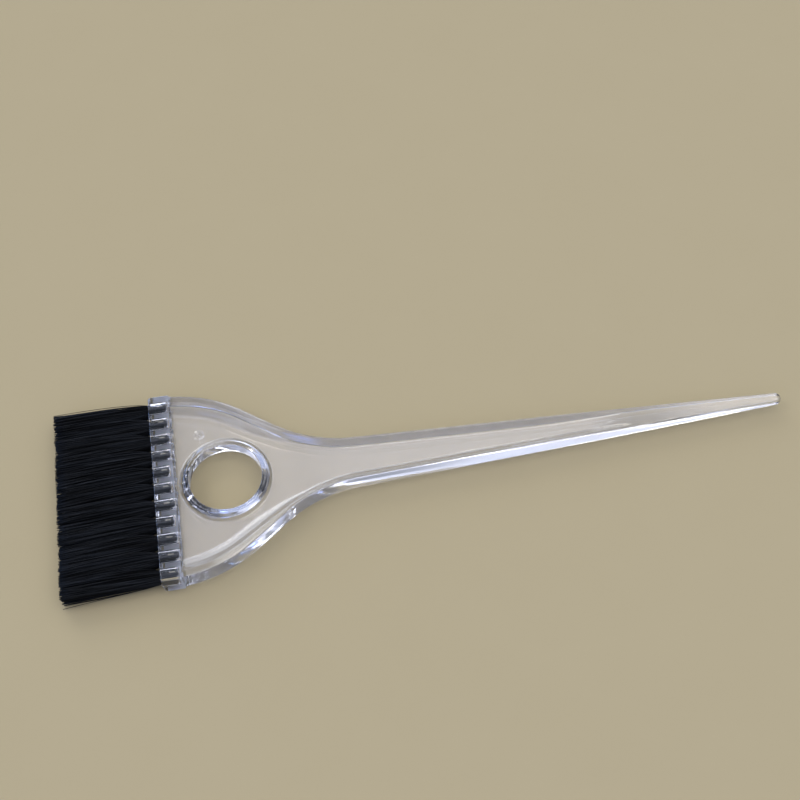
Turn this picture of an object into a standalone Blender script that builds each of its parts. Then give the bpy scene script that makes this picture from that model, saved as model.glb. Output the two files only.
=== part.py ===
"""Tint brush: a clear moulded handle with a round hole, and one row of bristle tufts held by flat anchors.

The brush lies flat. +X runs along the handle to the tip of its tail, +Y across the head, +Z up.
The origin is the bottom centre of the whole brush. Lengths are in metres, angles in degrees.
Along the brush, "along" is the distance from the bar's front face towards the tip of the tail.
"""

import math

import bmesh
import bpy

# Whole brush
HANDLE_LENGTH = 0.1805
BRISTLE_OUT = 0.0275

# Head and tail outline, from the front: a flared line, a convex arc, a slant, a concave arc, a taper
FRONT_HALF_WIDTH = 0.02995
FLARE_ANGLE = 9.2
SHOULDER_START = 0.00945
SHOULDER_RADIUS = 0.0383
SLANT_ANGLE = 36.9
SLANT_LENGTH = 0.0116
NECK_RADIUS = 0.0387
TAPER_ANGLE = 2.48
TIP_ROUND = 0.0014
TIP_CLOSE = 0.97  # share of the rounded tip that is kept, so that it ends in a small face

# Thickness of the rim, the same above and below the middle plane
HEAD_THICKNESS = 0.0062
HEAD_END = 0.045
TAIL_THICKNESS = 0.0049
TAIL_MIDDLE = 0.125
TIP_THICKNESS = 0.0025
EDGE_ROUND = 0.0003
EDGE_SHARE = 0.4  # an edge rounds no more than this share of the half-width or half-thickness there

# Rim and recess, on the top face
RIM_WIDTH_HEAD = 0.0020
RIM_WIDTH_TAIL = 0.00065
SLOPE_RUN_HEAD = 0.0050
SLOPE_RUN_TAIL = 0.0020
RIM_SHARE = 0.5  # the rim never takes more of the half-width than this
SLOPE_SHARE = 0.4  # nor the slope more than this
NARROWING = (0.022, 0.044)  # where the rim and its slope go from head size to tail size
RECESS_HEAD = 0.0018
RECESS_TAIL = 0.0014
RECESS_FADE = (0.108, 0.142)  # where the recess runs out
SLOPE_STEPS = 4

# Distances between the handle's cross-sections, and the steps in its round tip and corners
FIRST_SECTION = 0.0045  # inside the bar
HEAD_STEP = 0.0022
TAIL_STEP = 0.0050
TIP_STEPS = 4
CORNER_STEPS = 4

# Bar that holds the tufts
BAR_DEPTH = 0.0060
BAR_PROUD = 0.0001  # how far the bar stands out of the rim's faces
BAR_HALF_WIDTH = 0.02945
BAR_CORNER = 0.0009

# Round hole, its raised ring on the top face and its rounded lower edge
HOLE_ALONG = 0.0201
HOLE_RADIUS = 0.01025
RING_TOP_RADIUS = 0.0115
RING_BASE_RADIUS = 0.0126
RING_BELOW_RIM = 0.0001
RING_SIDES = 72
HOLE_LOWER_ROUND = 0.0030
HOLE_ROUND_STEPS = 5

# Tufts, their blind holes and their anchors
TUFT_COUNT = 11
TUFT_PITCH = 0.0053
BORE_RADIUS = 0.0018
BORE_DEPTH = 0.0052
BORE_SIDES = 24
CLEARANCE = 0.0003
TUFT_RADIUS = BORE_RADIUS - CLEARANCE
TUFT_TIP_PITCH = 0.00536
TUFT_GAP = 0.0003
TUFT_TIP_HEIGHT = 0.0060
TUFT_SPREAD = 0.0012  # distance in which a tuft widens most of the way
TUFT_THICKENING = 0.0050
TUFT_SIDES = 24
TUFT_STATIONS = (0.0, 0.0004, 0.0009, 0.0016, 0.0028, 0.0050, 0.0090, 0.0150, 0.0220, BRISTLE_OUT)
ANCHOR_THICKNESS = 0.0003
ANCHOR_HEIGHT = 0.0039
ANCHOR_DEPTH = 0.0016
ANCHOR_FRONT = 0.0024
ANCHOR_BEVEL = 0.00005

TOTAL_LENGTH = HANDLE_LENGTH + BRISTLE_OUT
FRONT_X = BRISTLE_OUT - TOTAL_LENGTH / 2
MIDDLE_Z = HEAD_THICKNESS / 2 + BAR_PROUD
ANCHOR_BACK = ANCHOR_FRONT + ANCHOR_DEPTH
OVERSHOOT = 0.001
MERGE = 1e-6


def smooth_step(value, span):
    """0 before the span, 1 after it, with an even S-curve between."""
    share = min(max((value - span[0]) / (span[1] - span[0]), 0.0), 1.0)
    return share * share * (3 - 2 * share)


def mix(first, second, share):
    return first + (second - first) * share


def outline_joints():
    """The points where the outline's lines and arcs meet, and the arcs' centres, as (along, half-width)."""
    flare = math.radians(FLARE_ANGLE)
    slant = math.radians(SLANT_ANGLE)
    taper = math.radians(TAPER_ANGLE)
    shoulder_half = FRONT_HALF_WIDTH - math.tan(flare) * SHOULDER_START
    shoulder = (
        SHOULDER_START - SHOULDER_RADIUS * math.sin(flare),
        shoulder_half - SHOULDER_RADIUS * math.cos(flare),
    )
    slant_start = (
        shoulder[0] + SHOULDER_RADIUS * math.sin(slant),
        shoulder[1] + SHOULDER_RADIUS * math.cos(slant),
    )
    slant_end = (
        slant_start[0] + SLANT_LENGTH * math.cos(slant),
        slant_start[1] - SLANT_LENGTH * math.sin(slant),
    )
    neck = (
        slant_end[0] + NECK_RADIUS * math.sin(slant),
        slant_end[1] + NECK_RADIUS * math.cos(slant),
    )
    taper_start = (
        neck[0] - NECK_RADIUS * math.sin(taper),
        neck[1] - NECK_RADIUS * math.cos(taper),
    )
    return shoulder, slant_start, slant_end, neck, taper_start


SHOULDER, SLANT_START, SLANT_END, NECK, TAPER_START = outline_joints()


def full_half_width(along):
    """Half the width of the handle, before the tip is rounded."""
    if along < SHOULDER_START:
        return FRONT_HALF_WIDTH - math.tan(math.radians(FLARE_ANGLE)) * along
    if along < SLANT_START[0]:
        return SHOULDER[1] + math.sqrt(SHOULDER_RADIUS**2 - (along - SHOULDER[0]) ** 2)
    if along < SLANT_END[0]:
        return SLANT_START[1] - (along - SLANT_START[0]) * math.tan(math.radians(SLANT_ANGLE))
    if along < TAPER_START[0]:
        return NECK[1] - math.sqrt(NECK_RADIUS**2 - (along - NECK[0]) ** 2)
    return TAPER_START[1] - (along - TAPER_START[0]) * math.tan(math.radians(TAPER_ANGLE))


def tip_scale(along):
    """How much the rounded tip takes off the width and the thickness."""
    into = max(along - (HANDLE_LENGTH - TIP_ROUND), 0.0) / TIP_ROUND
    return math.sqrt(1 - (into * TIP_CLOSE) ** 2)


def rim_thickness(along):
    """Thickness of the rim, before the tip is rounded."""
    if along < HEAD_END:
        return HEAD_THICKNESS
    if along < TAIL_MIDDLE:
        return mix(HEAD_THICKNESS, TAIL_THICKNESS, (along - HEAD_END) / (TAIL_MIDDLE - HEAD_END))
    return mix(TAIL_THICKNESS, TIP_THICKNESS, (along - TAIL_MIDDLE) / (HANDLE_LENGTH - TAIL_MIDDLE))


def section(along):
    """The handle's cross-section as a closed ring of (across, height) points, about the middle plane."""
    step = HANDLE_LENGTH / 10000
    tilt = (full_half_width(along + step) - full_half_width(along - step)) / (2 * step)
    stretch = math.sqrt(1 + tilt * tilt)
    half = full_half_width(along) * tip_scale(along)
    thick = rim_thickness(along) * tip_scale(along)
    bottom = -thick / 2
    top = thick / 2
    edge = min(EDGE_ROUND, EDGE_SHARE * half, EDGE_SHARE * thick / 2)
    corner = edge * (1 - math.sqrt(0.5))
    narrow = smooth_step(along, NARROWING)
    rim = min(mix(RIM_WIDTH_HEAD, RIM_WIDTH_TAIL, narrow) * stretch, RIM_SHARE * half)
    run = min(mix(SLOPE_RUN_HEAD, SLOPE_RUN_TAIL, narrow) * stretch, SLOPE_SHARE * half)
    recess = mix(RECESS_HEAD, RECESS_TAIL, narrow) * (1 - smooth_step(along, RECESS_FADE))
    side = [(half, bottom + edge), (half, top - edge), (half - corner, top - corner), (half - edge, top)]
    for index in range(SLOPE_STEPS + 1):
        share = index / SLOPE_STEPS
        side.append((half - rim - run * share, top - recess * (1 - (1 - share) ** 2)))
    side = [(half - edge, bottom), (half - corner, bottom + corner)] + side
    return side + [(-across, height) for across, height in reversed(side)]


def stations():
    """Distances along the handle at which it gets a cross-section: close in the head, wide in the tail."""
    places = [FIRST_SECTION]
    while places[-1] < TAPER_START[0]:
        places.append(places[-1] + HEAD_STEP)
    while places[-1] < HANDLE_LENGTH - TIP_ROUND - TAIL_STEP:
        places.append(places[-1] + TAIL_STEP)
    for index in range(TIP_STEPS + 1):
        places.append(HANDLE_LENGTH - TIP_ROUND + TIP_ROUND * math.sin(math.pi / 2 * index / TIP_STEPS))
    return places


def mesh_object(name, rings, location):
    """A closed solid through rings of points, each ring with the same number of points, capped at both ends."""
    work = bmesh.new()
    rows = [[work.verts.new(point) for point in ring] for ring in rings]
    count = len(rows[0])
    for first, second in zip(rows, rows[1:]):
        for index in range(count):
            after = (index + 1) % count
            work.faces.new((first[index], first[after], second[after], second[index]))
    work.faces.new(list(reversed(rows[0])))
    work.faces.new(rows[-1])
    bmesh.ops.recalc_face_normals(work, faces=work.faces)
    return finish_object(name, work, location)


def finish_object(name, work, location):
    data = bpy.data.meshes.new(name)
    work.to_mesh(data)
    work.free()
    made = bpy.data.objects.new(name, data)
    made.location = location
    bpy.context.scene.collection.objects.link(made)
    return made


def combine(target, other, operation):
    """Applies one exact boolean to the target and removes the other solid."""
    modifier = target.modifiers.new("boolean", "BOOLEAN")
    modifier.operation = operation
    modifier.solver = "EXACT"
    modifier.object = other
    bpy.context.view_layer.update()
    graph = bpy.context.evaluated_depsgraph_get()
    result = bpy.data.meshes.new_from_object(target.evaluated_get(graph))
    target.modifiers.clear()
    target.data = result
    bpy.data.objects.remove(other)


def circle(radius, sides, height):
    turns = [2 * math.pi * index / sides for index in range(sides)]
    return [(radius * math.cos(turn), radius * math.sin(turn), height) for turn in turns]


def handle_blank():
    """The rim, the slopes and the recessed web as one loft along the handle."""
    rings = []
    for along in stations():
        rings.append([(along, across, height) for across, height in section(along)])
    return mesh_object("handle", rings, (FRONT_X, 0, MIDDLE_Z))


def bar():
    """The thick straight block across the front of the head, with rounded front corners."""
    side = []
    for index in range(CORNER_STEPS + 1):
        turn = math.pi / 2 * index / CORNER_STEPS
        side.append((BAR_CORNER * (1 - math.sin(turn)), BAR_HALF_WIDTH - BAR_CORNER * (1 - math.cos(turn))))
    outline = [(BAR_DEPTH, BAR_HALF_WIDTH)] + side
    outline += [(along, -across) for along, across in reversed(outline)]
    high = HEAD_THICKNESS / 2 + BAR_PROUD
    rings = [[(along, across, height) for along, across in outline] for height in (-high, high)]
    return mesh_object("bar", rings, (FRONT_X, 0, MIDDLE_Z))


def ring():
    """A cone frustum on the web; the round hole is cut through it afterwards."""
    web_top = HEAD_THICKNESS / 2 - RECESS_HEAD
    rings = [
        circle(RING_BASE_RADIUS, RING_SIDES, 0.0),
        circle(RING_BASE_RADIUS, RING_SIDES, web_top),
        circle(RING_TOP_RADIUS, RING_SIDES, HEAD_THICKNESS / 2 - RING_BELOW_RIM),
    ]
    return mesh_object("ring", rings, (FRONT_X + HOLE_ALONG, 0, MIDDLE_Z))


def round_hole():
    """The cutter of the round hole: straight above, and widening in a quarter round at its lower edge."""
    half = HEAD_THICKNESS / 2
    rings = [circle(HOLE_RADIUS + HOLE_LOWER_ROUND, RING_SIDES, -half - OVERSHOOT)]
    for index in range(HOLE_ROUND_STEPS + 1):
        turn = math.pi / 2 * index / HOLE_ROUND_STEPS
        radius = HOLE_RADIUS + HOLE_LOWER_ROUND * (1 - math.sin(turn))
        rings.append(circle(radius, RING_SIDES, HOLE_LOWER_ROUND * (1 - math.cos(turn)) - half))
    rings.append(circle(HOLE_RADIUS, RING_SIDES, half + OVERSHOOT))
    return mesh_object("round_hole", rings, (FRONT_X + HOLE_ALONG, 0, MIDDLE_Z))


def across_at(index):
    return (index - (TUFT_COUNT - 1) / 2) * TUFT_PITCH


def blind_hole(index):
    rings = []
    for along in (-OVERSHOOT, BORE_DEPTH):
        rings.append([(along, across, height) for across, height, _ in circle(BORE_RADIUS, BORE_SIDES, 0)])
    return mesh_object("blind_hole", rings, (FRONT_X, across_at(index), MIDDLE_Z))


def block(name, low, high, location):
    """A box between two corners."""
    rings = []
    for along in (low[0], high[0]):
        rings.append(
            [
                (along, low[1], low[2]),
                (along, high[1], low[2]),
                (along, high[1], high[2]),
                (along, low[1], high[2]),
            ]
        )
    return mesh_object(name, rings, location)


def anchor_slit(index):
    """The slit that the anchor is pushed along, from the bar's front face to the anchor's seat."""
    across = ANCHOR_THICKNESS / 2 + CLEARANCE
    height = ANCHOR_HEIGHT / 2 + CLEARANCE
    low = (-OVERSHOOT, -across, -height)
    high = (ANCHOR_BACK + CLEARANCE, across, height)
    return block("anchor_slit", low, high, (FRONT_X, across_at(index), MIDDLE_Z))


def make_handle():
    handle = handle_blank()
    combine(handle, bar(), "UNION")
    combine(handle, ring(), "UNION")
    combine(handle, round_hole(), "DIFFERENCE")
    for index in range(TUFT_COUNT):
        combine(handle, blind_hole(index), "DIFFERENCE")
        combine(handle, anchor_slit(index), "DIFFERENCE")
    work = bmesh.new()
    work.from_mesh(handle.data)
    bmesh.ops.remove_doubles(work, verts=work.verts, dist=MERGE)
    bmesh.ops.dissolve_degenerate(work, edges=work.edges, dist=MERGE)
    work.to_mesh(handle.data)
    work.free()
    return handle


def tuft_section(out, index):
    """A tuft's outline at one distance out of the bar: round in the hole, a rounded block at the tips."""
    spread = 1 - math.exp(-max(out, 0.0) / TUFT_SPREAD)
    thick = 1 - math.exp(-max(out, 0.0) / TUFT_THICKENING)
    reach = max(out, 0.0) / BRISTLE_OUT
    pitch = mix(TUFT_PITCH, TUFT_TIP_PITCH, reach)
    wide = mix(TUFT_RADIUS, (pitch - TUFT_GAP) / 2, spread)
    high = mix(TUFT_RADIUS, TUFT_TIP_HEIGHT / 2, thick)
    power = mix(1.0, 0.5, spread)
    place = (index - (TUFT_COUNT - 1) / 2) * pitch - across_at(index)
    points = []
    for corner in range(TUFT_SIDES):
        turn = 2 * math.pi * corner / TUFT_SIDES
        cosine = math.cos(turn)
        sine = math.sin(turn)
        across = math.copysign(abs(cosine) ** power, cosine)
        height = math.copysign(abs(sine) ** power, sine)
        points.append((-out, place + wide * across, high * height))
    return points


def make_tuft(index):
    """One folded bundle: its stem fills the blind hole, and the anchor's slot leaves the fold behind it."""
    inside = -(BORE_DEPTH - CLEARANCE)
    rings = [tuft_section(out, index) for out in (inside, *TUFT_STATIONS)]
    name = f"tuft_{index + 1:02d}"
    tuft = mesh_object(name, rings, (FRONT_X, across_at(index), MIDDLE_Z))
    across = ANCHOR_THICKNESS / 2 + CLEARANCE
    low = (ANCHOR_FRONT - CLEARANCE, -across, -HEAD_THICKNESS)
    high = (ANCHOR_BACK + CLEARANCE, across, HEAD_THICKNESS)
    combine(tuft, block("anchor_slot", low, high, (FRONT_X, across_at(index), MIDDLE_Z)), "DIFFERENCE")
    return tuft


def make_anchor(index):
    """A flat strip of metal, edge on to the row, that the tuft folds round."""
    low = (0.0, -ANCHOR_THICKNESS / 2, -ANCHOR_HEIGHT / 2)
    high = (ANCHOR_DEPTH, ANCHOR_THICKNESS / 2, ANCHOR_HEIGHT / 2)
    place = (FRONT_X + ANCHOR_FRONT, across_at(index), MIDDLE_Z)
    anchor = block(f"anchor_{index + 1:02d}", low, high, place)
    bevel = anchor.modifiers.new("bevel", "BEVEL")
    bevel.width = ANCHOR_BEVEL
    bevel.segments = 1
    return anchor


def plain_material(name, colour, metallic, roughness):
    made = bpy.data.materials.new(name)
    made.use_nodes = True
    shader = made.node_tree.nodes["Principled BSDF"]
    shader.inputs["Base Color"].default_value = (*colour, 1.0)
    shader.inputs["Metallic"].default_value = metallic
    shader.inputs["Roughness"].default_value = roughness
    return made


def clear_plastic():
    made = plain_material("handle_clear", (0.93, 0.93, 0.95), 0.0, 0.04)
    shader = made.node_tree.nodes["Principled BSDF"]
    shader.inputs["Transmission Weight"].default_value = 0.9
    shader.inputs["IOR"].default_value = 1.53
    return made


def black_nylon():
    return plain_material("tuft_black", (0.012, 0.012, 0.014), 0.0, 0.38)


def anchor_metal():
    return plain_material("anchor_metal", (0.66, 0.62, 0.52), 1.0, 0.32)


def dress(part, material, smooth_angle):
    """Gives a part its material, and rounds its shading where faces meet at less than the angle."""
    part.data.materials.clear()
    part.data.materials.append(material)
    for face in part.data.polygons:
        face.material_index = 0
        face.use_smooth = True
    part.data.set_sharp_from_angle(angle=math.radians(smooth_angle))


def main():
    for old in list(bpy.data.objects):
        bpy.data.objects.remove(old, do_unlink=True)
    handle = make_handle()
    dress(handle, clear_plastic(), 28)
    nylon = black_nylon()
    metal = anchor_metal()
    for index in range(TUFT_COUNT):
        dress(make_tuft(index), nylon, 35)
        dress(make_anchor(index), metal, 20)


main()
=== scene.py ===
"""Looks for the tint brush: a clear moulded handle, black filament tufts and small metal anchors.

The brush lies flat with +X along its tail. "along" is the distance from the bar's front face towards the
tip of the tail, "across" is +Y, and heights are measured from the brush's middle plane. Lengths are in
metres, or in millimetres where a comment says so.
"""

import math

import bmesh
import bpy
import numpy as np
from mathutils import Matrix, Vector
from mathutils.geometry import delaunay_2d_cdt


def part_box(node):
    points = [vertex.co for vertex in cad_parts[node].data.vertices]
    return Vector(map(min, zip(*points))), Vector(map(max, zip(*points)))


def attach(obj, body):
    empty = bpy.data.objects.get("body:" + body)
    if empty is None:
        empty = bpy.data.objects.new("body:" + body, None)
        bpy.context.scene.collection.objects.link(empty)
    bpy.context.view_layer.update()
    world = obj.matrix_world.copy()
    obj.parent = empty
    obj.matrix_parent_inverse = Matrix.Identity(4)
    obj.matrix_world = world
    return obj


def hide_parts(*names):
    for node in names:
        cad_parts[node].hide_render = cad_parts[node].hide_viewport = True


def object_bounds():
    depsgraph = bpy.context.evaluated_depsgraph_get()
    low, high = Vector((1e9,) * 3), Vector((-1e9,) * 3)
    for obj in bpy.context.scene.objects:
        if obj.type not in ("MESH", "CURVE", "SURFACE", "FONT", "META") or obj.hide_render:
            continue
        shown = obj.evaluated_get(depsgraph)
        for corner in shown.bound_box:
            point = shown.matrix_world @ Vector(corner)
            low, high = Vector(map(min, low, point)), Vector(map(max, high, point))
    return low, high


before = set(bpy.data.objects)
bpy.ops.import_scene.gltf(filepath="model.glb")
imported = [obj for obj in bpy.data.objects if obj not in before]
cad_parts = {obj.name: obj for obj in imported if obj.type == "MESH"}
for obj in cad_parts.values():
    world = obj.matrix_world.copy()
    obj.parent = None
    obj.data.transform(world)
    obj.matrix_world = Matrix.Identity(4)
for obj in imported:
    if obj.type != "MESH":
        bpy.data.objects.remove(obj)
cad_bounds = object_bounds()

MM = 0.001
SEED = 11

# The frame's own places
HANDLE_LOW, HANDLE_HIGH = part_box("handle")
FRONT_X = HANDLE_LOW[0]
HANDLE_LENGTH = HANDLE_HIGH[0] - HANDLE_LOW[0]
MIDDLE_Z = (HANDLE_LOW[2] + HANDLE_HIGH[2]) / 2
BAR_HALF = (HANDLE_HIGH[2] - HANDLE_LOW[2]) / 2
TUFT_NODES = sorted(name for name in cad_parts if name.startswith("tuft"))
ANCHOR_NODES = sorted(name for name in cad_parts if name.startswith("anchor"))
TUFT_COUNT = len(TUFT_NODES)

# Outline of the handle, as it was built
FRONT_HALF_WIDTH = 29.95 * MM
FLARE = math.radians(9.2)
SHOULDER_START = 9.45 * MM
SHOULDER_RADIUS = 38.3 * MM
SLANT = math.radians(36.9)
SLANT_LENGTH = 11.6 * MM
NECK_RADIUS = 38.7 * MM
TAPER = math.radians(2.48)
TIP_ROUND = 1.4 * MM
TIP_CLOSE = 0.97

# Thickness, rim and recess
HEAD_HALF = 3.1 * MM
HEAD_END = 45 * MM
TAIL_HALF = 2.45 * MM
TAIL_MIDDLE = 125 * MM
TIP_HALF = 1.25 * MM
EDGE_ROUND = 0.25 * MM
EDGE_SHARE = 0.4  # the most of the half width or half thickness that the rounded edge takes
RIM_HEAD = 2.0 * MM
RIM_TAIL = 0.65 * MM
RIM_SHARE = 0.5  # the most of the half width that the flat rim takes
SLOPE_HEAD = 4.4 * MM
SLOPE_TAIL = 2.0 * MM
SLOPE_SHARE = 0.4  # the most of the half width that the slope takes
SLOPE_CURVE = 0.65  # 0 is a straight slope, 1 one that runs out level into the web
FOOT_SOFTNESS = 0.35 * MM
NARROWING = (22 * MM, 44 * MM)
RECESS_HEAD = 1.8 * MM
RECESS_TAIL = 1.4 * MM
RECESS_FADE = (108 * MM, 142 * MM)
CREASE_SOFTNESS = 0.10 * MM
MOULD_DRAFT = 0.07 * MM

# Bar, hole, ring and gate mark
BAR_DEPTH = 5.95 * MM
BAR_HALF_WIDTH = 29.45 * MM
BAR_CORNER = 0.9 * MM
BAR_STEP = (-0.05 * MM, 0.15 * MM)  # round its back, where its outline passes into the flared one
BAR_WALL_SLOPE = 14.0
BAR_WALL_BEND = 0.05 * MM
BAR_FILLET = 0.55 * MM
LEAST_FILLET = 0.02  # the share of that fillet which is left where the wall is lowest
BAR_UNDER_ROUND = 1.3 * MM
FRONT_DRAFT = 0.22 * MM
HOLE_ALONG = 20.1 * MM
HOLE_RADIUS = 10.25 * MM
HOLE_EDGE = 0.30 * MM
HOLE_UNDER_ROUND = 3.0 * MM
RING_TOP_RADIUS = 11.5 * MM
RING_SLOPE = 1.2
RING_FILLET = 0.7 * MM
RING_BEND = 0.2 * MM
RING_REACH = 1.6 * HOLE_RADIUS
RING_HIGH = 3.0 * MM
GATE = (13.6 * MM, 15.6 * MM)
GATE_DIP_RADIUS = 1.7 * MM
GATE_DIP = 0.22 * MM
GATE_PIP_RADIUS = 0.55 * MM
GATE_PIP = 0.42 * MM
GATE_POWER = 4  # how squarely the dip and the pip end
GATE_DIP_FALL = 2

# Tufts
PITCH = 5.3 * MM
BORE_RADIUS = 1.90 * MM
BORE_DEPTHS = (5.0, 5.75, 5.6, 5.1, 5.75, 5.05, 4.85, 5.5, 5.55, 5.3, 5.4)  # millimetres, from -Y to +Y
SLIT_HALF_THICKNESS = 0.17 * MM
SLIT_HALF_HEIGHT = 2.0 * MM
SLIT_DEPTH = 4.05 * MM
BRISTLE_OUT = FRONT_X - cad_bounds[0][0]
TIP_PITCH = 5.36 * MM
PACK_HALF_HEIGHT = 2.9 * MM
FILAMENT_RADIUS = 0.085 * MM
FOLDED_PER_TUFT = 130
CLUMP_ROWS = 3  # a tuft's filaments drift in clumps, this many across and as many up
STRAY_SHARE = 0.06


def smooth_step(value, span):
    share = np.clip((value - span[0]) / (span[1] - span[0]), 0.0, 1.0)
    return share * share * (3 - 2 * share)


def mix(first, second, share):
    return first + (second - first) * share


def soft_ramp(value, softness):
    """0 below zero and the value itself above, with a rounded bend between."""
    return 0.5 * (value + np.sqrt(value * value + softness * softness))


def smooth_max(first, second, width):
    """The larger of two heights, with a fillet of about this width where they cross."""
    near = np.clip(1 - np.abs(first - second) / width, 0.0, 1.0)
    return np.maximum(first, second) + near * near * width / 4


# Handle: heights over its outline


def outline_joints():
    shoulder_half = FRONT_HALF_WIDTH - math.tan(FLARE) * SHOULDER_START
    shoulder = (
        SHOULDER_START - SHOULDER_RADIUS * math.sin(FLARE),
        shoulder_half - SHOULDER_RADIUS * math.cos(FLARE),
    )
    slant_start = (
        shoulder[0] + SHOULDER_RADIUS * math.sin(SLANT),
        shoulder[1] + SHOULDER_RADIUS * math.cos(SLANT),
    )
    slant_end = (
        slant_start[0] + SLANT_LENGTH * math.cos(SLANT),
        slant_start[1] - SLANT_LENGTH * math.sin(SLANT),
    )
    neck = (
        slant_end[0] + NECK_RADIUS * math.sin(SLANT),
        slant_end[1] + NECK_RADIUS * math.cos(SLANT),
    )
    taper_start = (
        neck[0] - NECK_RADIUS * math.sin(TAPER),
        neck[1] - NECK_RADIUS * math.cos(TAPER),
    )
    return shoulder, slant_start, slant_end, neck, taper_start


SHOULDER, SLANT_START, SLANT_END, NECK, TAPER_START = outline_joints()


def plain_half_width(along):
    """Half the handle's width, with square front corners and an unrounded tip."""
    flared = FRONT_HALF_WIDTH - math.tan(FLARE) * along
    shoulder = SHOULDER[1] + np.sqrt(np.maximum(SHOULDER_RADIUS**2 - (along - SHOULDER[0]) ** 2, 0))
    slanted = SLANT_START[1] - (along - SLANT_START[0]) * math.tan(SLANT)
    neck = NECK[1] - np.sqrt(np.maximum(NECK_RADIUS**2 - (along - NECK[0]) ** 2, 0))
    taper = TAPER_START[1] - (along - TAPER_START[0]) * math.tan(TAPER)
    ends = (SHOULDER_START, SLANT_START[0], SLANT_END[0], TAPER_START[0])
    return np.select([along < end for end in ends], [flared, shoulder, slanted, neck], taper)


def tip_scale(along):
    into = np.maximum(along - (HANDLE_LENGTH - TIP_ROUND), 0.0) / TIP_ROUND
    return np.sqrt(1 - (np.minimum(into, 1.0) * TIP_CLOSE) ** 2)


def half_width(along):
    """Half the handle's width: the straight bar with its rounded corners, then the flared outline."""
    behind = smooth_step(along, (BAR_DEPTH + BAR_STEP[0], BAR_DEPTH + BAR_STEP[1]))
    into = np.clip(BAR_CORNER - along, 0.0, BAR_CORNER)
    corner = BAR_CORNER - np.sqrt(BAR_CORNER**2 - into**2)
    return mix(BAR_HALF_WIDTH - corner, plain_half_width(along) * tip_scale(along), behind)


def half_thickness(along):
    head = mix(HEAD_HALF, TAIL_HALF, np.clip((along - HEAD_END) / (TAIL_MIDDLE - HEAD_END), 0, 1))
    share = np.clip((along - TAIL_MIDDLE) / (HANDLE_LENGTH - TAIL_MIDDLE), 0, 1)
    return mix(head, TIP_HALF, share) * tip_scale(along)


def stretch(along):
    """The width across the handle that a unit of width square to its outline takes up."""
    step = 0.02 * MM
    tilt = (plain_half_width(along + step) - plain_half_width(along - step)) / (2 * step)
    return np.sqrt(1 + tilt * tilt)


def edge_round(along):
    return np.minimum(EDGE_ROUND, EDGE_SHARE * np.minimum(half_width(along), half_thickness(along)))


def rim_width(along):
    wide = mix(RIM_HEAD, RIM_TAIL, smooth_step(along, NARROWING))
    return np.minimum(wide, RIM_SHARE * half_width(along) / stretch(along))


def slope_run(along):
    run = mix(SLOPE_HEAD, SLOPE_TAIL, smooth_step(along, NARROWING))
    return np.minimum(run, SLOPE_SHARE * half_width(along) / stretch(along))


def recess_depth(along):
    deep = mix(RECESS_HEAD, RECESS_TAIL, smooth_step(along, NARROWING))
    return deep * (1 - smooth_step(along, RECESS_FADE))


def round_drop(distance, radius):
    """How far a rounded edge falls below its face, at a distance inward from the edge."""
    into = np.clip(radius - distance, 0.0, radius)
    return radius - np.sqrt(np.maximum(radius**2 - into**2, 0))


def web_height(along, inward):
    """Height of the recessed upper face: the flat rim, the slope and the web."""
    run = slope_run(along)
    into = soft_ramp((inward - rim_width(along)) / run, CREASE_SOFTNESS / run)
    left = soft_ramp(1 - into, FOOT_SOFTNESS / run)
    return half_thickness(along) - recess_depth(along) * (1 - mix(left, left**2, SLOPE_CURVE))


def with_ring(height, radius):
    """The upper face with the raised ring round the hole."""
    wall = RING_HIGH - RING_SLOPE * soft_ramp(radius - RING_TOP_RADIUS, RING_BEND)
    return np.where(radius < RING_REACH, smooth_max(height, wall, RING_FILLET), height)


def with_gate_mark(height, along, across):
    """The upper face with the gate's shallow dip and the small pip in its middle."""
    from_gate = np.hypot(along - GATE[0], across - GATE[1])
    height = height - GATE_DIP * np.exp(-((from_gate / GATE_DIP_RADIUS) ** GATE_POWER) * GATE_DIP_FALL)
    return height + GATE_PIP * np.exp(-((from_gate / GATE_PIP_RADIUS) ** GATE_POWER))


def face_height(along, across, upper):
    """Height of the upper face over the middle plane, or depth of the lower face under it."""
    inward = np.maximum((half_width(along) - np.abs(across)) / stretch(along), 0)
    radius = np.hypot(along - HOLE_ALONG, across)
    web = web_height(along, inward) if upper else half_thickness(along)
    bar_wall = BAR_HALF - BAR_WALL_SLOPE * soft_ramp(along - BAR_DEPTH, BAR_WALL_BEND)
    wall_share = (BAR_HALF - web) / (BAR_HALF - HEAD_HALF + RECESS_HEAD)
    height = smooth_max(web, bar_wall, BAR_FILLET * np.clip(wall_share, LEAST_FILLET, 1))
    if upper:
        height = with_gate_mark(with_ring(height, radius), along, across)
    front = edge_round(along) if upper else BAR_UNDER_ROUND
    edges = round_drop(inward, edge_round(along)) + round_drop(along, front)
    hole_edge = round_drop(radius - HOLE_RADIUS, HOLE_EDGE if upper else HOLE_UNDER_ROUND)
    return height - np.minimum(edges, front) - hole_edge


# Handle: the points that carry those heights

# Spans of stations along the handle: where each one ends and its step, both in millimetres
STATION_SPANS = (
    (0.06, 0.02),  # the front's rounded upper edge
    (0.4, 0.07),
    (1.4, 0.12),  # the rest of the bar's corners
    (5.8, 0.55),
    (6.2, 0.025),  # the bar's back wall
    (7.0, 0.07),  # its fillet
    (9.0, 0.3),
    (62.0, 0.5),  # the head and the neck
    (178.5, 0.9),  # the tail
    (180.0, 0.15),
)
TIP_CLEAR = 0.45 * MM  # how far from the tip those spans stop
TIP_FAN = 0.42 * MM  # how far from the tip the stations that follow its round end begin
TIP_STATIONS = 9

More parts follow.
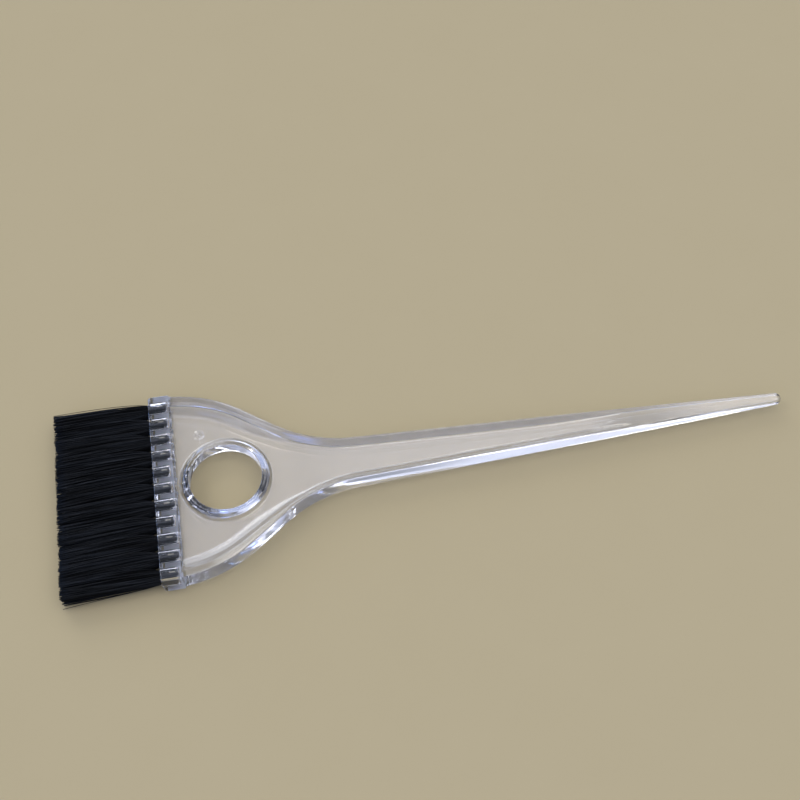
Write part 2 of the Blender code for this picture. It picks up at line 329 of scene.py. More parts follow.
# Rows inward from the outline
EDGE_ROWS = 6
RIM_ROWS = (0.35, 0.7)  # shares of the rim
CREASE_ROWS = (-0.16, -0.08, -0.02, 0.04, 0.12, 0.24)  # millimetres from where the rim ends
SLOPE_ROWS = (0.12, 0.22, 0.34, 0.46, 0.58, 0.70, 0.82, 0.93, 1.0, 1.06)  # shares of the slope
LEAST_ROW_GAP = 0.015 * MM
MIDDLE_CLEAR = 0.12 * MM
LEAST_ACROSS = 0.05 * MM
WEB_GAP = 0.8 * MM
FRONT_GAP = 0.6 * MM
FRONT_STRIP = 0.5 * MM  # the stretch behind the front face whose rows follow the front face's own points

# Loops round the hole and round the gate mark
RING_ROWS = (0.0, 0.02, 0.06, 0.12, 0.2, 0.3, 0.5, 0.8, 1.0, 1.12, 1.22, 1.32, 1.45, 1.6, 1.8, 2.0, 2.15)
RING_ROWS += (2.3, 2.45, 2.6, 2.8, 3.1, 3.5)  # all in millimetres from the hole's edge
RING_POINTS = 240
RING_CLEAR = 3.8 * MM
GATE_ROWS = np.linspace(0.08, 1.9, 14)  # radii in millimetres
GATE_POINTS_PER_MM = 22
GATE_LEAST_POINTS = 6
GATE_CLEAR = 2.05 * MM
GATE_FROM_HOLE = 3.7 * MM
MERGE_DISTANCE = 1e-6  # millimetres
HOLE_SLACK = 0.9999  # for rounding, where triangles are tested against the hole's straight sides

# Rows down the walls, as shares of their height; the outer wall's crowd at the parting line
WALL_SHARES = (0.12, 0.3, 0.46, 0.495, 0.505, 0.54, 0.7, 0.88)
HOLE_WALL_SHARES = (0.2, 0.4, 0.6, 0.8)


def stations():
    """Distances along the handle, close together where the surface bends."""
    start = 0.0
    places = [start]
    for end, step in STATION_SPANS:
        count = round((end - start) / step)
        places += [start + (end - start) * (index + 1) / count for index in range(count)]
        start = end
    places = np.array(places) * MM
    places = places[places < HANDLE_LENGTH - TIP_CLEAR]
    turns = np.linspace(math.asin(1 - TIP_FAN / TIP_ROUND), math.pi / 2, TIP_STATIONS)
    return np.r_[places, HANDLE_LENGTH - TIP_ROUND + TIP_ROUND * np.sin(turns)]


def rows_inward(along):
    """Distances in from the outline at one station: over the rounded edge, the rim and down the slope."""
    edge = float(edge_round(along))
    rim = float(rim_width(along))
    run = float(slope_run(along))
    rounded = [edge * (1 - math.cos(turn)) for turn in np.linspace(0, math.pi / 2, EDGE_ROWS)]
    flat = [mix(edge, rim, share) for share in RIM_ROWS]
    crease = [rim + shift * MM for shift in CREASE_ROWS]
    slope = [rim + run * share for share in SLOPE_ROWS]
    limit = float(half_width(along) / stretch(along)) - MIDDLE_CLEAR
    kept = [0.0]
    for distance in sorted(rounded[1:] + flat + crease + slope):
        if distance - kept[-1] > LEAST_ROW_GAP and distance < limit:
            kept.append(distance)
    return kept


def grid_points(places):
    """Points inside the outline at every station, on both sides, in to the middle."""
    points = []
    for along in places[1:-1]:
        half = float(half_width(along))
        factor = float(stretch(along))
        sides = [half - row * factor for row in rows_inward(along)[1:]]
        last = sides[-1]
        count = int(last / WEB_GAP)
        sides += [last * (index + 0.5) / (count + 1) for index in range(count + 1)]
        for across in sides:
            if across > LEAST_ACROSS:
                points.append((along, across))
                points.append((along, -across))
    return np.array(points)


def front_places():
    """Distances across the bar at which its front face and the rows just behind it have points."""
    half = float(half_width(0.0))
    return np.linspace(-half, half, 2 * int(half / FRONT_GAP) + 1)


def outline_loop(places):
    """The outline, counter-clockwise from the front's -Y corner to its +Y corner by way of the tip."""
    lower = [(along, -float(half_width(along))) for along in places]
    upper = [(along, float(half_width(along))) for along in places]
    front = [(0.0, across) for across in front_places()[1:-1]]
    return np.array(lower + upper[::-1] + front[::-1])


def ring_points():
    """Loops round the hole, the first on its edge, with every second one turned by half a step."""
    loops = []
    for index, extra in enumerate(RING_ROWS):
        turns = (np.arange(RING_POINTS) + 0.5 * (index % 2)) * 2 * math.pi / RING_POINTS
        radius = HOLE_RADIUS + extra * MM
        loops.append(np.c_[HOLE_ALONG + radius * np.cos(turns), radius * np.sin(turns)])
    return loops


def gate_points():
    """Loops round the gate mark, as far as the ones round the hole leave room."""
    points = []
    for radius in GATE_ROWS:
        count = max(int(radius * GATE_POINTS_PER_MM), GATE_LEAST_POINTS)
        for turn in np.arange(0, 2 * math.pi, 2 * math.pi / count):
            along = GATE[0] + radius * MM * math.cos(turn)
            points.append((along, GATE[1] + radius * MM * math.sin(turn)))
    points = np.array(points)
    return points[np.hypot(points[:, 0] - HOLE_ALONG, points[:, 1]) > HOLE_RADIUS + GATE_FROM_HOLE]


def inner_points(places):
    """The points inside the outline, but for the hole's: the grid, the front's rows and the gate mark's."""
    grid = grid_points(places)
    from_hole = np.hypot(grid[:, 0] - HOLE_ALONG, grid[:, 1])
    from_gate = np.hypot(grid[:, 0] - GATE[0], grid[:, 1] - GATE[1])
    grid = grid[(from_hole > HOLE_RADIUS + RING_CLEAR) & (from_gate > GATE_CLEAR)]
    front_half = float(half_width(0.0)) - EDGE_ROUND
    grid = grid[(grid[:, 0] > FRONT_STRIP) | (np.abs(grid[:, 1]) > front_half)]
    across = front_places()[2:-2]
    rows = [np.c_[np.full(len(across), along), across] for along in places[1:] if along < FRONT_STRIP]
    return np.vstack([grid, *rows, gate_points()])


def inside_handle(centres, places):
    """Which triangles, given by their centres, lie inside the outline and outside the hole."""
    allowed = np.interp(centres[:, 0], places, [float(half_width(along)) for along in places])
    from_hole = np.hypot(centres[:, 0] - HOLE_ALONG, centres[:, 1])
    least = HOLE_RADIUS * math.cos(math.pi / RING_POINTS) * HOLE_SLACK
    inside = (np.abs(centres[:, 1]) < allowed) & (from_hole > least)
    return inside & (centres[:, 0] > 0) & (centres[:, 0] < HANDLE_LENGTH)


def closed_loop(start, count):
    """Edges that join the points numbered from the start into a closed loop."""
    return [(start + index, start + (index + 1) % count) for index in range(count)]


def flat_mesh():
    """The handle's plan as points and triangles, with its outline and hole as loops of point numbers."""
    places = stations()
    outline = outline_loop(places)
    points = np.vstack([outline, *ring_points(), inner_points(places)])
    edge_count = len(outline)
    edges = closed_loop(0, edge_count) + closed_loop(edge_count, RING_POINTS)
    spread = [Vector((along / MM, across / MM)) for along, across in points]
    verts, _, faces, origins, _, _ = delaunay_2d_cdt(spread, edges, [], 0, MERGE_DISTANCE)
    plan = np.array([(vert.x, vert.y) for vert in verts]) * MM
    faces = np.array(faces)
    faces = faces[inside_handle(plan[faces].mean(axis=1), places)]
    renamed = {}
    for new, old in enumerate(origins):
        for one in old:
            renamed[one] = new
    outline_ids = [renamed[index] for index in range(edge_count)]
    hole_ids = [renamed[edge_count + index] for index in range(RING_POINTS)]
    return plan, faces, outline_ids, hole_ids


def wall_rows(work, upper, lower, ids, outward, levels):
    """Corners from the upper sheet's loop down to the lower one's, at levels of (share, outward offset)."""
    rows = [[upper[one] for one in ids]]
    for share, offset in levels:
        row = []
        for place, one in enumerate(ids):
            point = upper[one].co.lerp(lower[one].co, share)
            row.append(work.verts.new(point + outward[place] * offset))
        rows.append(row)
    rows.append([lower[one] for one in ids])
    return rows


def join_rows(work, rows):
    count = len(rows[0])
    for above, below in zip(rows, rows[1:]):
        for index in range(count):
            after = (index + 1) % count
            work.faces.new((above[after], above[index], below[index], below[after]))


def draft_directions(loop):
    """How the parting line at mid-height stands out from the outline, as a full-size offset per point."""
    along_loop = np.roll(loop, -1, axis=0) - np.roll(loop, 1, axis=0)
    normals = np.c_[along_loop[:, 1], -along_loop[:, 0]]
    normals /= np.linalg.norm(normals, axis=1)[:, None]
    fade = 1 - np.clip(normals[:, 0], 0, 1) ** 6
    forward = np.where(normals[:, 0] < 0, FRONT_DRAFT, MOULD_DRAFT * fade) * normals[:, 0]
    sideways = MOULD_DRAFT * fade * normals[:, 1]
    return [Vector((first, second, 0)) for first, second in zip(forward, sideways)]


def handle_shell():
    """The handle's outside as one closed mesh, before the tuft holes are cut."""
    plan, faces, outline_ids, hole_ids = flat_mesh()
    top = face_height(plan[:, 0], plan[:, 1], True)
    bottom = -face_height(plan[:, 0], plan[:, 1], False)
    work = bmesh.new()
    upper = {}
    lower = {}
    for one in sorted(set(faces.ravel()) | set(outline_ids) | set(hole_ids)):
        upper[one] = work.verts.new((plan[one, 0], plan[one, 1], top[one]))
        lower[one] = work.verts.new((plan[one, 0], plan[one, 1], bottom[one]))
    for first, second, third in faces:
        work.faces.new((upper[first], upper[second], upper[third]))
        work.faces.new((lower[first], lower[third], lower[second]))
    levels = [(share, 1 - abs(2 * share - 1)) for share in WALL_SHARES]
    join_rows(work, wall_rows(work, upper, lower, outline_ids, draft_directions(plan[outline_ids]), levels))
    straight = [Vector((0, 0, 0))] * len(hole_ids)
    levels = [(share, 0.0) for share in HOLE_WALL_SHARES]
    join_rows(work, wall_rows(work, upper, lower, hole_ids, straight, levels))
    bmesh.ops.recalc_face_normals(work, faces=work.faces)
    return work


def new_object(name, work):
    data = bpy.data.meshes.new(name)
    work.to_mesh(data)
    work.free()
    made = bpy.data.objects.new(name, data)
    bpy.context.scene.collection.objects.link(made)
    return made


# Handle: the tuft holes

CUTTER_OUT = 1.0 * MM  # how far the cutters stand out of the front face
BORE_MOUTH = 0.2 * MM
BORE_FLOOR_ROUND = 0.55 * MM
BORE_FLOOR_POINT = 0.05 * MM
BORE_ROUND_STEPS = 6
BORE_SIDES = 56
SHARP_ANGLE = math.radians(38)


def across_at(index):
    return (index - (TUFT_COUNT - 1) / 2) * PITCH


def add_revolved(work, profile, across, sides):
    """A solid turned about a line along X, from (along, radius) points whose ends lie on that line."""
    rings = []
    for along, radius in profile:
        if radius == 0:
            rings.append([work.verts.new((along, across, 0))])
            continue
        ring = []
        for index in range(sides):
            turn = 2 * math.pi * index / sides
            ring.append(
                work.verts.new((along, across + radius * math.cos(turn), radius * math.sin(turn)))
            )
        rings.append(ring)
    for first, second in zip(rings, rings[1:]):
        for index in range(sides):
            after = (index + 1) % sides
            corners = [first[index % len(first)], second[index % len(second)]]
            corners += [second[after % len(second)], first[after % len(first)]]
            unique = list(dict.fromkeys(corners))
            work.faces.new(unique)


def bore_cutters():
    """All the blind holes as one cutter, each with a rounded floor."""
    work = bmesh.new()
    for index in range(TUFT_COUNT):
        depth = BORE_DEPTHS[index] * MM
        profile = [(-CUTTER_OUT, 0.0), (-CUTTER_OUT, BORE_RADIUS)]
        profile += [(BORE_MOUTH, BORE_RADIUS), (depth / 2, BORE_RADIUS)]
        for turn in np.linspace(0, math.pi / 2, BORE_ROUND_STEPS):
            along = depth - BORE_FLOOR_ROUND + BORE_FLOOR_ROUND * math.sin(turn)
            profile.append((along, BORE_RADIUS - BORE_FLOOR_ROUND * (1 - math.cos(turn))))
        profile.append((depth + BORE_FLOOR_POINT, 0.0))
        add_revolved(work, profile, across_at(index), BORE_SIDES)
    bmesh.ops.recalc_face_normals(work, faces=work.faces)
    return new_object("bore_cutters", work)


def slit_cutters():
    """The thin slits that the anchors leave above and below each hole."""
    work = bmesh.new()
    for index in range(TUFT_COUNT):
        middle = Vector(((SLIT_DEPTH - CUTTER_OUT) / 2, across_at(index), 0))
        size = Vector((SLIT_DEPTH + CUTTER_OUT, 2 * SLIT_HALF_THICKNESS, 2 * SLIT_HALF_HEIGHT))
        matrix = Matrix.Translation(middle) @ Matrix.Diagonal((*size, 1))
        bmesh.ops.create_cube(work, size=1, matrix=matrix)
    return new_object("slit_cutters", work)


def cut(target, cutter):
    modifier = target.modifiers.new("cut", "BOOLEAN")
    modifier.operation = "DIFFERENCE"
    modifier.solver = "EXACT"
    modifier.object = cutter
    bpy.context.view_layer.update()
    graph = bpy.context.evaluated_depsgraph_get()
    result = bpy.data.meshes.new_from_object(target.evaluated_get(graph))
    target.modifiers.clear()
    target.data = result
    bpy.data.objects.remove(cutter)


def make_handle():
    handle = new_object("handle_clear", handle_shell())
    cut(handle, bore_cutters())
    cut(handle, slit_cutters())
    handle.data.transform(Matrix.Translation((FRONT_X, 0, MIDDLE_Z)))
    for face in handle.data.polygons:
        face.use_smooth = True
    handle.data.set_sharp_from_angle(angle=SHARP_ANGLE)
    return handle


# Tufts

# A filament in its hole
BORE_WALL_GAP = 0.14 * MM
BORE_FLOOR_GAP = 0.12 * MM
FOLD_FROM = 3.95 * MM
FOLD_TURNS = (-80, -40, 0, 40, 80)  # degrees round the anchor
LEG_DEPTHS = (1.9 * MM, 3.6 * MM)

# A filament out of its hole: shares of its length that have points, and how it spreads
LEG_SHARES = (1.0, 0.86, 0.68, 0.5, 0.33, 0.2, 0.11, 0.05, 0.0)
OPENING = 3.6 * MM  # the length over which a round bundle opens into a square one
TIP_SHARE = 0.5  # of the pitch, to which a tuft opens on each side
END_TIP_SHARE = 0.36  # the same on the free sides of the first and last tufts
HEIGHT_POWER = 0.85
LEAN = 1.5 * MM  # towards -Y at the tips
LEAN_BY_HEIGHT = 0.9 * MM
LEAN_LOST = 0.75  # the share of the lean that the end tufts lose
LEAN_POWER = 1.25
CLUMP_POWER = 1.5
DRIFT_POWER = 1.3

# How unevenly clumps and filaments lie, in millimetres
CLUMP_DRIFT = 0.42
CLUMP_RISE = 0.2
CLUMP_SHORTER = 0.15
DRIFT = 0.42
RISE = 0.2
BOW = 0.16
SWAY = 0.1
SHORTER = 0.22
STRAY_FACTOR = 2.2
FILAMENT_SIDES = 6


def clump_offsets(rng):
    """Where each clump of filaments drifts to at the tips, as (across, up, shorter) in millimetres."""
    count = CLUMP_ROWS**2
    drift = rng.normal(0, CLUMP_DRIFT, count)
    rise = rng.normal(0, CLUMP_RISE, count)
    return np.c_[drift, rise, np.abs(rng.normal(0, CLUMP_SHORTER, count))]


def clump_number(across, up):
    """The clump that a filament belongs to, from its place in the hole, from -1 to 1 each way."""
    rows_each = CLUMP_ROWS / 2 - 0.001  # a little less than half, so that a place at 1 is in the last row
    return int((across + 1) * rows_each) * CLUMP_ROWS + int((up + 1) * rows_each)


def filament_paths(index, rng):
    """Centre lines of a tuft's filaments, each folded once round the anchor and cut at both tips."""
    paths = []
    depth = BORE_DEPTHS[index] * MM - BORE_FLOOR_GAP
    inner = BORE_RADIUS - BORE_WALL_GAP
    place = index - (TUFT_COUNT - 1) / 2
    clumps = clump_offsets(rng)
    for number in range(FOLDED_PER_TUFT):
        radius = inner * math.sqrt((number + 0.5) / FOLDED_PER_TUFT)
        turn = number * math.pi * (3 - math.sqrt(5))
        side = min(abs(radius * math.cos(turn)) + SLIT_HALF_THICKNESS, inner)
        level = radius * math.sin(turn)
        legs = []
        for sign in (-1, 1):
            clump = clumps[clump_number(sign * side / inner, level / inner)]
            legs.append(filament_leg(place, sign * side, level, inner, clump, rng))
        reach = (depth - FOLD_FROM) * (side / inner)
        path = [(-out, across, height) for out, across, height in legs[0]]
        for degrees in FOLD_TURNS:
            angle = math.radians(degrees)
            across = side * math.sin(angle) + across_at(index)
            path.append((FOLD_FROM + reach * math.cos(angle), across, level))
        path += [(-out, across, height) for out, across, height in reversed(legs[1])]
        paths.append(path)
    return paths


def squared(across, up):
    """A place in a round bundle moved out to where it is in a square one."""
    share = max(abs(across), abs(up)) / math.hypot(across, up)
    return across / share, up / share


def filament_leg(place, side, level, inner, clump, rng):
    """One end of a filament from its tip to the anchor, as (out, across, height) points."""
    spread_across, spread_up = squared(side / inner, level / inner)
    drift, bow, rise, sway = rng.normal(0, 1, 4)
    stray = STRAY_FACTOR if rng.random() < STRAY_SHARE else 1.0
    tip_out = BRISTLE_OUT - (clump[2] + abs(rng.normal(0, SHORTER))) * MM
    edge = abs(place) / (TUFT_COUNT / 2)
    lean = (LEAN + LEAN_BY_HEIGHT * spread_up) * (1 - LEAN_LOST * edge**3)
    outermost = spread_across * place > 0 and abs(place) > (TUFT_COUNT - 1) / 2 - 0.5
    tip_share = END_TIP_SHARE if outermost else TIP_SHARE
    points = []
    for share in LEG_SHARES:
        out = tip_out * share
        pitch = mix(PITCH, TIP_PITCH, share)
        opened = 1 - math.exp(-out / OPENING)
        wide = mix(inner, pitch * tip_share, opened)
        high = mix(inner, PACK_HALF_HEIGHT, share**HEIGHT_POWER)
        across = place * pitch + wide * mix(side / inner, spread_across, opened) - lean * share**LEAN_POWER
        across += (clump[0] * share**CLUMP_POWER + DRIFT * stray * drift * share**DRIFT_POWER) * MM
        across += BOW * bow * math.sin(math.pi * share) * MM
        height = high * mix(level / inner, spread_up, opened)
        height += (clump[1] * share + RISE * stray * rise * share) * MM
        height += SWAY * sway * math.sin(math.pi * share) * MM
        height = min(max(height, -PACK_HALF_HEIGHT), PACK_HALF_HEIGHT)
        points.append((out, across, height))
    points += [(-depth, place * PITCH + side, level) for depth in LEG_DEPTHS]
    return points


def tube_mesh(name, paths, radius, sides):
    """Thin tubes along centre lines that all have the same number of points, as one mesh."""
    lines = np.array(paths)
    count, length, _ = lines.shape
    ahead = np.empty_like(lines)
    ahead[:, 1:-1] = lines[:, 2:] - lines[:, :-2]
    ahead[:, 0] = lines[:, 1] - lines[:, 0]
    ahead[:, -1] = lines[:, -1] - lines[:, -2]
    ahead /= np.linalg.norm(ahead, axis=2)[:, :, None]
    up = np.zeros_like(ahead)
    up[:, :, 2] = 1
    first = np.cross(ahead, up)
    first /= np.linalg.norm(first, axis=2)[:, :, None]
    second = np.cross(ahead, first)
    turns = np.arange(sides) * 2 * math.pi / sides
    ring = first[:, :, None, :] * np.cos(turns)[None, None, :, None]
    ring = ring + second[:, :, None, :] * np.sin(turns)[None, None, :, None]
    points = lines[:, :, None, :] + ring * radius
    verts = points.reshape(-1, 3)
    start = (np.arange(count) * length * sides)[:, None, None]
    along = (np.arange(length - 1) * sides)[None, :, None]
    corner = np.arange(sides)[None, None, :]
    after = (corner + 1) % sides
    low = start + along
    quads = np.stack(
        [low + corner, low + after, low + sides + after, low + sides + corner], axis=-1
    ).reshape(-1, 4)
    caps = []
    for one in range(count):
        base = one * length * sides
        caps.append([base + sides - 1 - corner_index for corner_index in range(sides)])
        end = base + (length - 1) * sides
        caps.append([end + corner_index for corner_index in range(sides)])
    data = bpy.data.meshes.new(name)
    data.from_pydata(verts.tolist(), [], quads.tolist() + caps)
    made = bpy.data.objects.new(name, data)
    bpy.context.scene.collection.objects.link(made)
    for face in data.polygons:
        face.use_smooth = len(face.vertices) == 4
    return made


def make_tuft(index):
    rng = np.random.default_rng(SEED + index)
    paths = filament_paths(index, rng)
    tuft = tube_mesh(f"filaments_{index + 1:02d}", paths, FILAMENT_RADIUS, FILAMENT_SIDES)
    tuft.data.transform(Matrix.Translation((FRONT_X, 0, MIDDLE_Z)))
    return tuft


# Materials: helpers


def node(tree, kind, **values):
    made = tree.nodes.new(kind)
    for name, value in values.items():
        made.inputs[name.replace("_", " ")].default_value = value
    return made


def noise(tree, coordinates, scale, detail=4.0, roughness=0.55, stretch_by=(1, 1, 1)):
    """A noise texture in object metres, with its pattern drawn out by the stretch."""
    mapping = tree.nodes.new("ShaderNodeMapping")
    mapping.inputs["Scale"].default_value = stretch_by
    tree.links.new(coordinates, mapping.inputs["Vector"])
    made = node(tree, "ShaderNodeTexNoise", Scale=scale, Detail=detail, Roughness=roughness)
    tree.links.new(mapping.outputs["Vector"], made.inputs["Vector"])
    return made.outputs["Fac"]


def ramp(tree, source, stops):
    made = tree.nodes.new("ShaderNodeValToRGB")
    elements = made.color_ramp.elements
    elements[0].position, elements[0].color = stops[0][0], (*stops[0][1], 1)
    elements[1].position, elements[1].color = stops[-1][0], (*stops[-1][1], 1)
    for position, colour in stops[1:-1]:
        extra = elements.new(position)
        extra.color = (*colour, 1)
    tree.links.new(source, made.inputs["Fac"])
    return made.outputs["Color"]


def remap(tree, source, low, high):
    made = tree.nodes.new("ShaderNodeMapRange")
    made.inputs["To Min"].default_value = low
    made.inputs["To Max"].default_value = high
    tree.links.new(source, made.inputs["Value"])
    return made.outputs["Result"]


def step_between(tree, value, start, end):
    made = tree.nodes.new("ShaderNodeMapRange")
    made.interpolation_type = "SMOOTHSTEP"
    made.inputs["From Min"].default_value = min(start, end)
    made.inputs["From Max"].default_value = max(start, end)
    made.inputs["To Min"].default_value = 0.0 if start < end else 1.0
    made.inputs["To Max"].default_value = 1.0 if start < end else 0.0
    tree.links.new(value, made.inputs["Value"])
    return made.outputs["Result"]


def arithmetic(tree, operation, first, second):
    made = tree.nodes.new("ShaderNodeMath")
    made.operation = operation
    for socket, value in zip(made.inputs, (first, second)):
        if isinstance(value, float):
            socket.default_value = value
        else:
            tree.links.new(value, socket)
    return made.outputs["Value"]


def blend_colours(tree, share, first, second):
    """A blend from a colour, or from what a socket gives, to a second colour."""
    made = tree.nodes.new("ShaderNodeMix")
    made.data_type = "RGBA"
    tree.links.new(share, made.inputs[0])
    if isinstance(first, tuple):
        made.inputs[6].default_value = (*first, 1)
    else:
        tree.links.new(first, made.inputs[6])
    made.inputs[7].default_value = (*second, 1)
    return made.outputs[2]


def start_material(name):
    made = bpy.data.materials.new(name)
    made.use_nodes = True
    tree = made.node_tree
    shader = tree.nodes["Principled BSDF"]
    coordinates = tree.nodes.new("ShaderNodeTexCoord").outputs["Object"]
    return made, tree, shader, coordinates


def bump(tree, shader, height, strength, distance):
    made = node(tree, "ShaderNodeBump", Strength=strength, Distance=distance)
    tree.links.new(height, made.inputs["Height"])
    tree.links.new(made.outputs["Normal"], shader.inputs["Normal"])


# Materials: the clear plastic

PLASTIC_INDEX = 1.57
HAZE_COLOUR = (1.0, 0.925, 0.78)
FROST_COLOUR = (0.94, 0.96, 1.0)
WEB_HAZE = 0.21
HAZE_CLOUD = (0.94, 1.06)
BAR_FROST = 0.75
FROST_CLOUD = (0.8, 1.2)

# Where the haze and the frost are: how level a face is, and the brush's own distances and heights
LEVEL_NORMAL = (0.95, 0.995)
HAZE_RISE = (FRONT_X - 100 * MM, FRONT_X + 42 * MM)
PAST_BAR = (FRONT_X + BAR_DEPTH, FRONT_X + BAR_DEPTH + 1.0 * MM)
IN_BAR = (FRONT_X + BAR_DEPTH, FRONT_X + BAR_DEPTH - 0.3 * MM)
WEB_TOP = MIDDLE_Z + HEAD_HALF - RECESS_HEAD
BELOW_RIM = (WEB_TOP + 0.9 * MM, WEB_TOP + 0.3 * MM)
UNDERSIDE = (0.6 * MM, 0.3 * MM)


def hazy_shares(tree, coordinates):
    """Masks on level faces seen from above: the hazy web, and the bar's frosted underside from inside."""
    place = tree.nodes.new("ShaderNodeSeparateXYZ")
    tree.links.new(coordinates, place.inputs["Vector"])
    normal = tree.nodes.new("ShaderNodeSeparateXYZ")
    tree.links.new(tree.nodes.new("ShaderNodeNewGeometry").outputs["Normal"], normal.inputs["Vector"])
    level = step_between(tree, normal.outputs["Z"], *LEVEL_NORMAL)
    web = level
    for axis, span in (("X", HAZE_RISE), ("X", PAST_BAR), ("Z", BELOW_RIM)):
        web = arithmetic(tree, "MULTIPLY", web, step_between(tree, place.outputs[axis], *span))
    frost = level
    for axis, span in (("X", IN_BAR), ("Z", UNDERSIDE)):
        frost = arithmetic(tree, "MULTIPLY", frost, step_between(tree, place.outputs[axis], *span))
    return web, frost


def clear_plastic():
    """Clear polished plastic with faint flow waves, a light haze on the web and frost under the bar."""
    made, tree, shader, coordinates = start_material("clear_plastic")
    shader.inputs["IOR"].default_value = PLASTIC_INDEX
    tint = noise(tree, coordinates, scale=60, detail=3, roughness=0.5, stretch_by=(0.35, 1, 1))
    clear = ramp(tree, tint, [(0.3, (0.935, 0.945, 0.99)), (0.7, (0.965, 0.972, 1.0))])
    haze, frost = hazy_shares(tree, coordinates)
    tinted = blend_colours(tree, haze, clear, HAZE_COLOUR)
    tree.links.new(blend_colours(tree, frost, tinted, FROST_COLOUR), shader.inputs["Base Color"])
    cloud = noise(tree, coordinates, scale=220, detail=3, roughness=0.6)
    cloud = remap(tree, cloud, WEB_HAZE * HAZE_CLOUD[0], WEB_HAZE * HAZE_CLOUD[1])
    hazy = arithmetic(tree, "MULTIPLY", haze, cloud)
    uneven = remap(tree, tint, BAR_FROST * FROST_CLOUD[0], BAR_FROST * FROST_CLOUD[1])
    frosted = arithmetic(tree, "MULTIPLY", frost, uneven)
    lost = arithmetic(tree, "ADD", hazy, frosted)
    tree.links.new(arithmetic(tree, "SUBTRACT", 1.0, lost), shader.inputs["Transmission Weight"])
    gloss = noise(tree, coordinates, scale=900, detail=3, roughness=0.6, stretch_by=(0.3, 1, 1))
    tree.links.new(remap(tree, gloss, 0.015, 0.06), shader.inputs["Roughness"])
    flow = noise(tree, coordinates, scale=160, detail=2, roughness=0.5, stretch_by=(0.12, 1, 1))
    bump(tree, shader, flow, strength=0.25, distance=0.03 * MM)
    return made


# Materials: the others


def black_nylon():
    """Near-black nylon filament with a satin, slightly blue sheen and uneven pigment."""
    made, tree, shader, coordinates = start_material("black_nylon")
    patches = noise(tree, coordinates, scale=700, detail=3, roughness=0.6, stretch_by=(0.05, 1, 1))
    colours = [(0.38, (0.0006, 0.0008, 0.0009)), (0.62, (0.0105, 0.0120, 0.0140))]
    tree.links.new(ramp(tree, patches, colours), shader.inputs["Base Color"])
    gloss = noise(tree, coordinates, scale=1500, detail=2, roughness=0.5, stretch_by=(0.15, 1, 1))
    tree.links.new(remap(tree, gloss, 0.30, 0.60), shader.inputs["Roughness"])
    shader.inputs["Specular IOR Level"].default_value = 0.09
    grain = noise(tree, coordinates, scale=5000, detail=2, roughness=0.5, stretch_by=(0.1, 1, 1))
    bump(tree, shader, grain, strength=0.15, distance=0.01 * MM)
    return made


def anchor_metal():
    """Drawn brass strip: fine lines along its height, dulled in patches."""
    made, tree, shader, coordinates = start_material("anchor_strip")
    shader.inputs["Metallic"].default_value = 1.0
    patches = noise(tree, coordinates, scale=1200, detail=4, roughness=0.6)
    colours = [(0.3, (0.44, 0.38, 0.27)), (0.7, (0.70, 0.64, 0.50))]
    tree.links.new(ramp(tree, patches, colours), shader.inputs["Base Color"])
    lines = noise(tree, coordinates, scale=6000, detail=2, roughness=0.5, stretch_by=(1, 1, 0.05))
    tree.links.new(remap(tree, lines, 0.22, 0.45), shader.inputs["Roughness"])
    bump(tree, shader, lines, strength=0.2, distance=0.01 * MM)
    return made


def backdrop_paper():
    """Plain matt paper with a barely uneven colour."""
    made, tree, shader, coordinates = start_material("backdrop_paper")
    grain = noise(tree, coordinates, scale=40, detail=4, roughness=0.6)
    colours = [(0.3, (0.366, 0.301, 0.172)), (0.7, (0.370, 0.305, 0.175))]
    tree.links.new(ramp(tree, grain, colours), shader.inputs["Base Color"])
    shader.inputs["Roughness"].default_value = 0.95
    shader.inputs["Specular IOR Level"].default_value = 0.0
    return made


def give(piece, material):
    piece.data.materials.clear()
    piece.data.materials.append(material)


# Stage, light and camera

FLOOR_HALF = 3.0
FLOOR_DROP = 0.05 * MM  # below the brush

# Each soft light: name, compass angle from the far side round to the right, elevation,
# the angles from its middle at which it starts and ends fading, and its brightness
SOFT_LIGHTS = (
    ("back_panel", 15, 60, 12, 26, (0.95, 1.02, 1.25)),
    ("dark_wall", 342, 60, 5, 11, (0.25, 0.28, 0.35)),
    ("window", 338, 29, 15, 18, (4.00, 4.20, 4.80)),
    ("top_box", 18, 75, 5, 7, (6.00, 6.00, 6.00)),
    ("back_strip", 12, 42, 4, 6, (6.00, 5.90, 5.60)),
    ("left_box", 282, 50, 12, 22, (2.90, 3.10, 3.90)),
    ("low_front", 222, 30, 6, 14, (1.20, 1.60, 3.40)),
    ("right_box", 110, 62, 12, 24, (1.80, 1.80, 1.90)),
    ("low_back", 0, 8, 6, 18, (1.90, 2.10, 2.70)),
    ("low_left", 308, 10, 8, 18, (0.90, 1.80, 4.00)),
)
LOW_STUDIO = (0.42, 0.49, 0.72)
HIGH_STUDIO = (1.10, 1.15, 1.35)
STUDIO_FADE = (0.30, 0.98)  # heights on the unit sphere between which the walls turn into the ceiling

# The camera's place, worked out for a brush that points along +X
SENSOR = 36.0  # millimetres
LENS = 63.3375  # millimetres
CAMERA_ELEVATION = math.radians(58.60)
CAMERA_ROLL = math.radians(-3.365)
CAMERA_DISTANCE = 412.86 * MM
CAMERA_CLIP = 10 * MM
BRUSH_HEADING = math.radians(5.908)
BRUSH_PLACE = (-70.14 * MM, -27.40 * MM)  # the bar's front face, from the point the camera looks at


def make_floor():
    work = bmesh.new()
    bmesh.ops.create_grid(work, x_segments=8, y_segments=8, size=FLOOR_HALF)
    floor = new_object("floor", work)
    floor.location = (0, 0, cad_bounds[0][2] - FLOOR_DROP)
    give(floor, backdrop_paper())


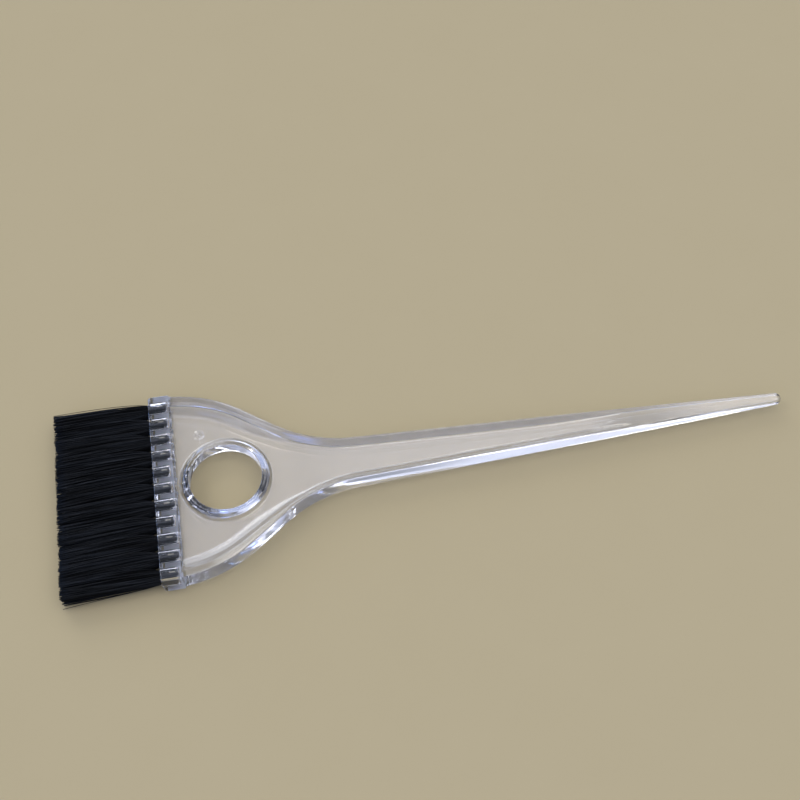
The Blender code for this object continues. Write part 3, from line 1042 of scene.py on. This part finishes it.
def make_lights():
    """Soft light all round, from one sky of smooth patches."""
    world = bpy.data.worlds.new("studio")
    world.use_nodes = True
    bpy.context.scene.world = world
    tree = world.node_tree
    direction = tree.nodes.new("ShaderNodeTexCoord").outputs["Generated"]
    height = tree.nodes.new("ShaderNodeSeparateXYZ")
    tree.links.new(direction, height.inputs["Vector"])
    share = step_between(tree, height.outputs["Z"], *STUDIO_FADE)
    sky = blend_colours(tree, share, LOW_STUDIO, HIGH_STUDIO)
    for name, compass, elevation, inner, outer, colour in SOFT_LIGHTS:
        level = math.cos(math.radians(elevation))
        towards = tree.nodes.new("ShaderNodeVectorMath")
        towards.name = name
        towards.operation = "DOT_PRODUCT"
        towards.inputs[1].default_value = (
            level * math.sin(math.radians(compass)),
            level * math.cos(math.radians(compass)),
            math.sin(math.radians(elevation)),
        )
        tree.links.new(direction, towards.inputs[0])
        span = (math.cos(math.radians(outer)), math.cos(math.radians(inner)))
        sky = blend_colours(tree, step_between(tree, towards.outputs["Value"], *span), sky, colour)
    tree.links.new(sky, tree.nodes["Background"].inputs["Color"])


def make_camera():
    forward = Vector((0, math.cos(CAMERA_ELEVATION), -math.sin(CAMERA_ELEVATION)))
    right = Vector((1, 0, 0))
    up = right.cross(forward)
    place = -CAMERA_DISTANCE * forward - Vector((*BRUSH_PLACE, 0))
    turn = Matrix.Rotation(-BRUSH_HEADING, 3, "Z")
    place = turn @ place + Vector((FRONT_X, 0, MIDDLE_Z - HEAD_HALF))
    rolled_right = math.cos(CAMERA_ROLL) * right + math.sin(CAMERA_ROLL) * up
    rolled_up = math.cos(CAMERA_ROLL) * up - math.sin(CAMERA_ROLL) * right
    axes = [turn @ rolled_right, turn @ rolled_up, turn @ -forward]
    data = bpy.data.cameras.new("camera")
    data.sensor_width = SENSOR
    data.lens = LENS
    data.clip_start = CAMERA_CLIP
    camera = bpy.data.objects.new("camera", data)
    rotation = Matrix(axes).transposed().to_4x4()
    camera.matrix_world = Matrix.Translation(place) @ rotation
    bpy.context.scene.collection.objects.link(camera)
    bpy.context.scene.camera = camera


def main():
    bpy.context.scene.view_settings.view_transform = "Standard"
    make_floor()
    make_lights()
    make_camera()
    handle = make_handle()
    give(handle, clear_plastic())
    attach(handle, "root")
    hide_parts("handle")
    nylon = black_nylon()
    for index, name in enumerate(TUFT_NODES):
        tuft = make_tuft(index)
        give(tuft, nylon)
        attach(tuft, "root")
        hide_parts(name)
    metal = anchor_metal()
    for name in ANCHOR_NODES:
        give(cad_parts[name], metal)


main()
